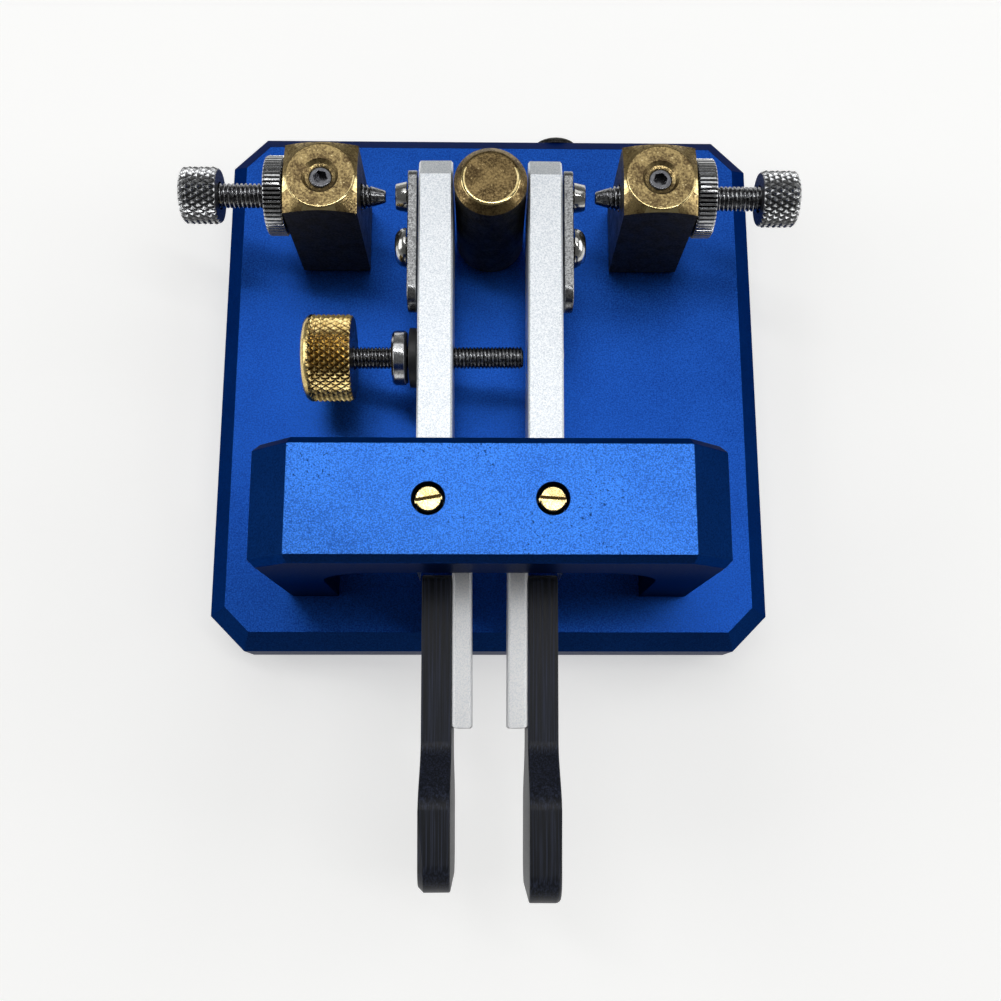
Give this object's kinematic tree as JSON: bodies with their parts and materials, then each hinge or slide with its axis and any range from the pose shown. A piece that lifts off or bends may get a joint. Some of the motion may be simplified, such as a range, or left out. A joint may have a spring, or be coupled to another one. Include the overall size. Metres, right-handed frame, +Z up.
{
  "type": "double paddle morse key",
  "caption": "Dual-lever paddle key on a square blue base: a bridge carries two pivoted arms with finger plates, between knurled contact screws in square posts.",
  "frame": {"origin": "on the desk, under the middle of the whole key's box", "axes": "+X to the right, +Y from the finger plates to the jack at the rear, +Z up"},
  "size_m": [0.0856, 0.1125, 0.0445],
  "materials": {
    "blue_anodised": "bead-blasted and dyed blue, satin",
    "clear_anodised": "bead-blasted, clear anodised, fine matt grain",
    "brass": "turned and milled, lightly tarnished",
    "steel": "turned and knurled, plated",
    "nickel": "nickel plated, polished",
    "black_plastic": "satin black, lightly scuffed",
    "black_steel": "blackened, satin",
    "fibre": "red-brown vulcanised fibre",
    "rubber": "moulded, matt",
    "red_lead": "red insulation",
    "black_lead": "black insulation",
    "yellow_lead": "yellow insulation"
  },
  "bodies": {
    "base": {"base": "blue_anodised", "bridge": "blue_anodised", "centre_post": "brass", "centre_post_screw": "black_steel", "jack_body": "black_plastic", "jack_nut": "black_steel", "earth_lead": "black_lead", "front_left_foot": "rubber", "front_right_foot": "rubber", "rear_left_foot": "rubber", "rear_right_foot": "rubber", "left_bridge_screw": "black_steel", "left_contact_post": "brass", "left_post_bush": "black_plastic", "left_post_washer": "fibre", "left_post_screw": "steel", "left_lower_pivot_screw": "brass", "left_lead": "red_lead", "right_bridge_screw": "black_steel", "right_contact_post": "brass", "right_post_bush": "black_plastic", "right_post_washer": "fibre", "right_post_screw": "steel", "right_lower_pivot_screw": "brass", "right_lead": "yellow_lead"},
    "left_paddle": {"left_arm": "clear_anodised", "left_carrier_strip": "clear_anodised", "left_front_carrier_screw": "steel", "left_rear_carrier_screw": "steel", "left_finger_plate": "black_plastic", "left_front_finger_screw": "black_steel", "left_rear_finger_screw": "black_steel", "left_contact_strip": "nickel", "left_contact_pin": "nickel", "left_strip_screw": "nickel", "tension_washer": "black_plastic"},
    "right_paddle": {"right_arm": "clear_anodised", "right_carrier_strip": "clear_anodised", "right_front_carrier_screw": "steel", "right_rear_carrier_screw": "steel", "right_finger_plate": "black_plastic", "right_front_finger_screw": "black_steel", "right_rear_finger_screw": "black_steel", "right_contact_strip": "nickel", "right_contact_pin": "nickel", "right_strip_screw": "nickel", "tension_magnet": "nickel"},
    "left_contact_rod": {"left_contact_screw": "steel"},
    "left_contact_grip": {"left_contact_knob": "steel"},
    "left_nut": {"left_lock_nut": "steel"},
    "left_locking_screw": {"left_set_screw": "black_steel"},
    "left_pivot": {"left_upper_pivot_screw": "brass"},
    "right_contact_rod": {"right_contact_screw": "steel"},
    "right_contact_grip": {"right_contact_knob": "steel"},
    "right_nut": {"right_lock_nut": "steel"},
    "right_locking_screw": {"right_set_screw": "black_steel"},
    "right_pivot": {"right_upper_pivot_screw": "brass"},
    "tension_screw": {"tension_rod": "steel"},
    "tension_grip": {"tension_knob": "brass"},
    "tension_nut": {"tension_collar": "steel"}
  },
  "joints": [
    {"name": "left_paddle_hinge", "type": "hinge", "parent": "base", "child": "left_paddle", "pos_m": [-0.00725, -0.01005, 0.024], "axis": [0, 0, 1], "range_deg": [0, 1.59], "stiffness_Nm_per_rad": 0.04, "springref_deg": -11.46},
    {"name": "right_paddle_hinge", "type": "hinge", "parent": "base", "child": "right_paddle", "pos_m": [0.00725, -0.01005, 0.024], "axis": [0, 0, -1], "range_deg": [0, 1.59], "stiffness_Nm_per_rad": 0.04, "springref_deg": -11.46},
    {"name": "left_contact_feed", "type": "slide", "parent": "base", "child": "left_contact_rod", "axis": [-1, 0, 0], "range_m": [-0.0012, 0.004]},
    {"name": "left_contact_turn", "type": "hinge", "parent": "left_contact_rod", "child": "left_contact_grip", "pos_m": [-0.04, 0.03675, 0.0268], "axis": [-1, 0, 0], "range_deg": [-721, 2401]},
    {"name": "left_nut_turn", "type": "hinge", "parent": "base", "child": "left_nut", "pos_m": [-0.0296, 0.03675, 0.0268], "axis": [-1, 0, 0], "range_deg": [-90, 90]},
    {"name": "left_locking_screw_turn", "type": "hinge", "parent": "base", "child": "left_locking_screw", "pos_m": [-0.023, 0.03675, 0.0305], "axis": [0, 0, 1], "range_deg": [0, 180]},
    {"name": "left_pivot_turn", "type": "hinge", "parent": "base", "child": "left_pivot", "pos_m": [-0.00725, -0.01005, 0.0425], "axis": [0, 0, 1], "range_deg": [-90, 90]},
    {"name": "right_contact_feed", "type": "slide", "parent": "base", "child": "right_contact_rod", "axis": [1, 0, 0], "range_m": [-0.0012, 0.004]},
    {"name": "right_contact_turn", "type": "hinge", "parent": "right_contact_rod", "child": "right_contact_grip", "pos_m": [0.04, 0.03675, 0.0268], "axis": [1, 0, 0], "range_deg": [-721, 2401]},
    {"name": "right_nut_turn", "type": "hinge", "parent": "base", "child": "right_nut", "pos_m": [0.0296, 0.03675, 0.0268], "axis": [1, 0, 0], "range_deg": [-90, 90]},
    {"name": "right_locking_screw_turn", "type": "hinge", "parent": "base", "child": "right_locking_screw", "pos_m": [0.023, 0.03675, 0.0305], "axis": [0, 0, 1], "range_deg": [0, 180]},
    {"name": "right_pivot_turn", "type": "hinge", "parent": "base", "child": "right_pivot", "pos_m": [0.00725, -0.01005, 0.0425], "axis": [0, 0, 1], "range_deg": [-90, 90]},
    {"name": "tension_feed", "type": "slide", "parent": "left_paddle", "child": "tension_screw", "axis": [-1, -0.0064, 0], "range_m": [-0.0002, 0.006]},
    {"name": "tension_turn", "type": "hinge", "parent": "tension_screw", "child": "tension_grip", "pos_m": [-0.0221, 0.01401, 0.024], "axis": [-1, -0.0064, 0], "range_deg": [-145, 4321]},
    {"name": "tension_nut_turn", "type": "hinge", "parent": "left_paddle", "child": "tension_nut", "pos_m": [-0.0124, 0.01407, 0.024], "axis": [-1, -0.0064, 0], "range_deg": [-90, 90]}
  ],
  "couplings": [
    {"joint": "left_contact_turn", "follows": "left_contact_feed", "rad_per_m": 10472},
    {"joint": "right_contact_turn", "follows": "right_contact_feed", "rad_per_m": 10472},
    {"joint": "tension_turn", "follows": "tension_feed", "rad_per_m": 12566}
  ]
}
